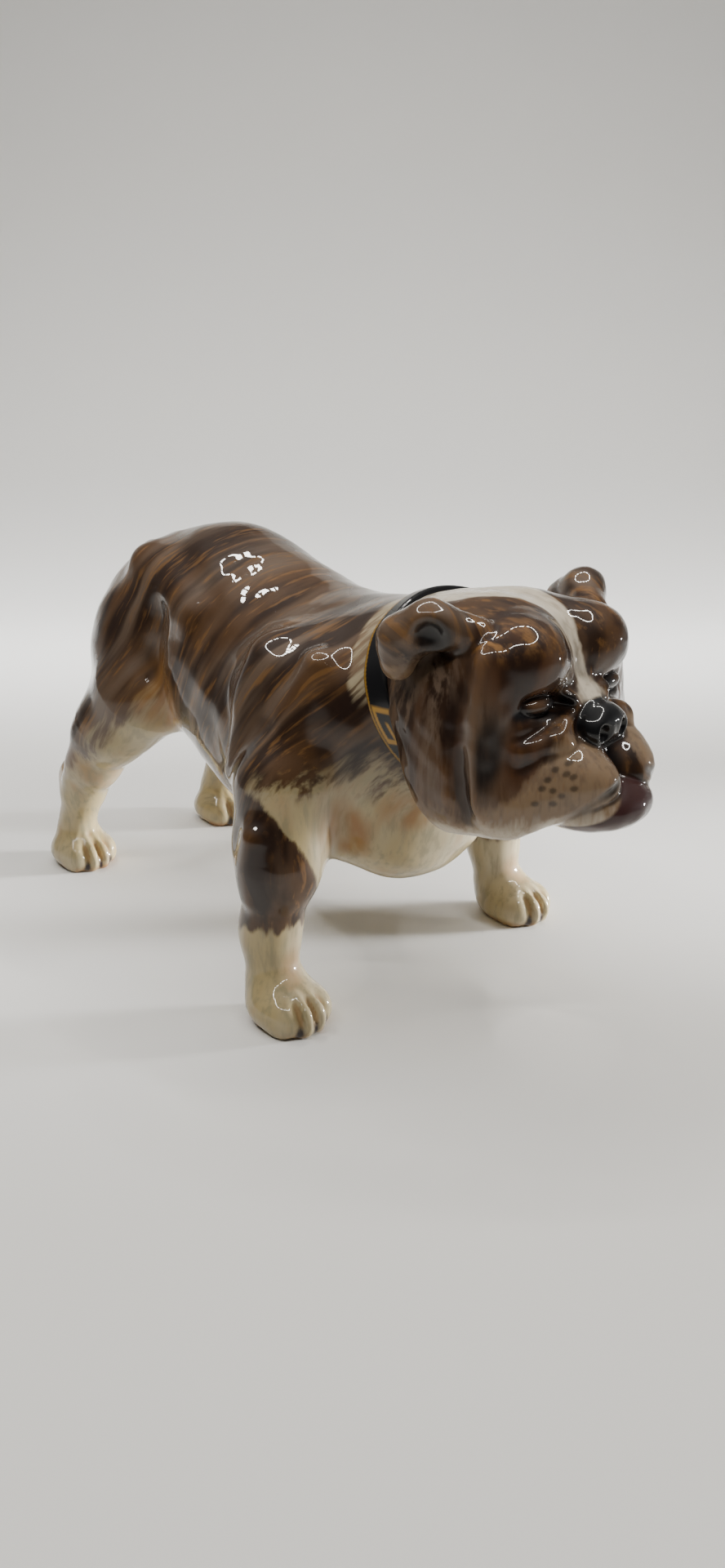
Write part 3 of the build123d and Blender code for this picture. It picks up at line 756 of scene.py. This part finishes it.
# ---------------------------------------------------------------- floor, light and camera
# From here on lengths are metres. LOOK is the camera's heading over the floor, SIDE is to its right.
VIEW_TURN, VIEW_DOWN = 46.5, 20.0
LENS_MM, FILM_MM = 27.0375, 36.0
LOOK = np.array((-math.sin(math.radians(VIEW_TURN)), math.cos(math.radians(VIEW_TURN))))
SIDE = np.array((LOOK[1], -LOOK[0]))
CAMERA_AT = np.array((153.1 + AHEAD, -158.8, 120.0)) / 1000
PAPER = (0.78, 0.775, 0.755, 1)
FLOOR_START, CURVE_START, CURVE_RADIUS = -1.2, 0.55, 0.07
WALL_TOP, SWEEP_HALF_WIDTH = 0.31, 1.6


def backdrop():
    """White sweep: a wide floor curving up into a low back wall."""
    profile = [(FLOOR_START, 0.0), (CURVE_START, 0.0)]
    for turn in np.linspace(0.1, math.pi / 2, 12):
        profile.append((CURVE_START + CURVE_RADIUS * math.sin(turn), CURVE_RADIUS * (1 - math.cos(turn))))
    profile.append((CURVE_START + CURVE_RADIUS, WALL_TOP))
    verts, faces = [], []
    for along_look, up in profile:
        for along_side in (-SWEEP_HALF_WIDTH, SWEEP_HALF_WIDTH):
            spot = CAMERA_AT[:2] + LOOK * along_look + SIDE * along_side
            verts.append((spot[0], spot[1], up))
    for i in range(len(profile) - 1):
        faces.append((2 * i, 2 * i + 1, 2 * i + 3, 2 * i + 2))
    mesh = bpy.data.meshes.new("backdrop")
    mesh.from_pydata(verts, [], faces)
    mesh.polygons.foreach_set("use_smooth", np.ones(len(faces), bool))
    obj = bpy.data.objects.new("backdrop", mesh)
    bpy.context.collection.objects.link(obj)
    web = Web("backdrop")
    shader = web.put("BsdfPrincipled", Base_Color=PAPER, Roughness=0.9)
    out = web.put("OutputMaterial")
    web.tree.links.new(shader.outputs[0], out.inputs[0])
    mesh.materials.append(web.mat)


backdrop()


def studio_air():
    """Dim room on the camera's side, brighter behind the figure and above."""
    world = bpy.data.worlds.new("studio")
    bpy.context.scene.world = world
    world.use_nodes = True
    tree = world.node_tree
    background = tree.nodes["Background"]
    coord = tree.nodes.new("ShaderNodeTexCoord")
    dot = tree.nodes.new("ShaderNodeVectorMath")
    dot.operation = "DOT_PRODUCT"
    dot.inputs[1].default_value = (LOOK[0], LOOK[1], 0.35)
    fade = tree.nodes.new("ShaderNodeMapRange")
    fade.interpolation_type = "SMOOTHSTEP"
    for key, value in (("From Min", -0.4), ("From Max", 0.8), ("To Min", 0.05), ("To Max", 0.14)):
        fade.inputs[key].default_value = value
    tree.links.new(coord.outputs["Generated"], dot.inputs[0])
    tree.links.new(dot.outputs["Value"], fade.inputs[0])
    tree.links.new(fade.outputs[0], background.inputs[0])
    background.inputs[1].default_value = 1.0


studio_air()


def lamp(name, where, aim, size, power, colour=(1, 1, 1)):
    """A soft oblong lamp at one point, aimed at another."""
    data = bpy.data.lights.new(name, "AREA")
    data.shape = "RECTANGLE"
    data.size, data.size_y = size
    data.energy = power
    data.color = colour
    obj = bpy.data.objects.new(name, data)
    bpy.context.collection.objects.link(obj)
    obj.location = where
    obj.rotation_euler = (Vector(aim) - Vector(where)).to_track_quat("-Z", "Y").to_euler()
    return obj


BEAD_HEIGHT, BEAD_OVAL, BEAD_SIZE = 0.38, (0.23, 0.165), (0.028, 0.011)
WARM = (1.0, 0.97, 0.92)


def bead_lights(count=32, power=2.9):
    """Oval string of small bright lights hung over the figure."""
    centre = np.append(np.array((-0.02, 0.0)) - 0.06 * LOOK + 0.02 * SIDE, BEAD_HEIGHT)
    a, b = np.append(SIDE, 0) * BEAD_OVAL[0], np.append(LOOK, 0) * BEAD_OVAL[1]
    for k in range(count):
        turn = 2 * math.pi * k / count
        where = centre + a * math.cos(turn) + b * math.sin(turn)
        way = -a * math.sin(turn) + b * math.cos(turn)
        bead = lamp("bead_%02d" % k, where, (0, 0, 0), BEAD_SIZE, power / count, WARM)
        bead.rotation_euler = (0, 0, math.atan2(way[1], way[0]))


bead_lights()
# a wash over the floor behind, and a small lamp low beside the figure for its far legs
behind = CAMERA_AT[:2] + 0.50 * LOOK
wash = lamp("wash", (*behind, 0.34), (*behind, 0.0), (0.7, 0.10), 0.9)
wash.rotation_euler = (0, 0, math.atan2(SIDE[1], SIDE[0]))
wash.data.spread = math.radians(60)
beside = CAMERA_AT[:2] + 0.30 * LOOK + 0.36 * SIDE
fill = lamp("fill", (*beside, 0.05), (0.0, 0.03, 0.012), (0.10, 0.05), 0.14)
fill.data.spread = math.radians(20)

camera_data = bpy.data.cameras.new("camera")
camera_data.lens = LENS_MM
camera_data.sensor_width = FILM_MM
camera_data.clip_start = 0.01
camera = bpy.data.objects.new("camera", camera_data)
bpy.context.collection.objects.link(camera)
camera.location = CAMERA_AT
camera.rotation_euler = (math.radians(90.0 - VIEW_DOWN), 0.0, math.radians(VIEW_TURN))
bpy.context.scene.camera = camera

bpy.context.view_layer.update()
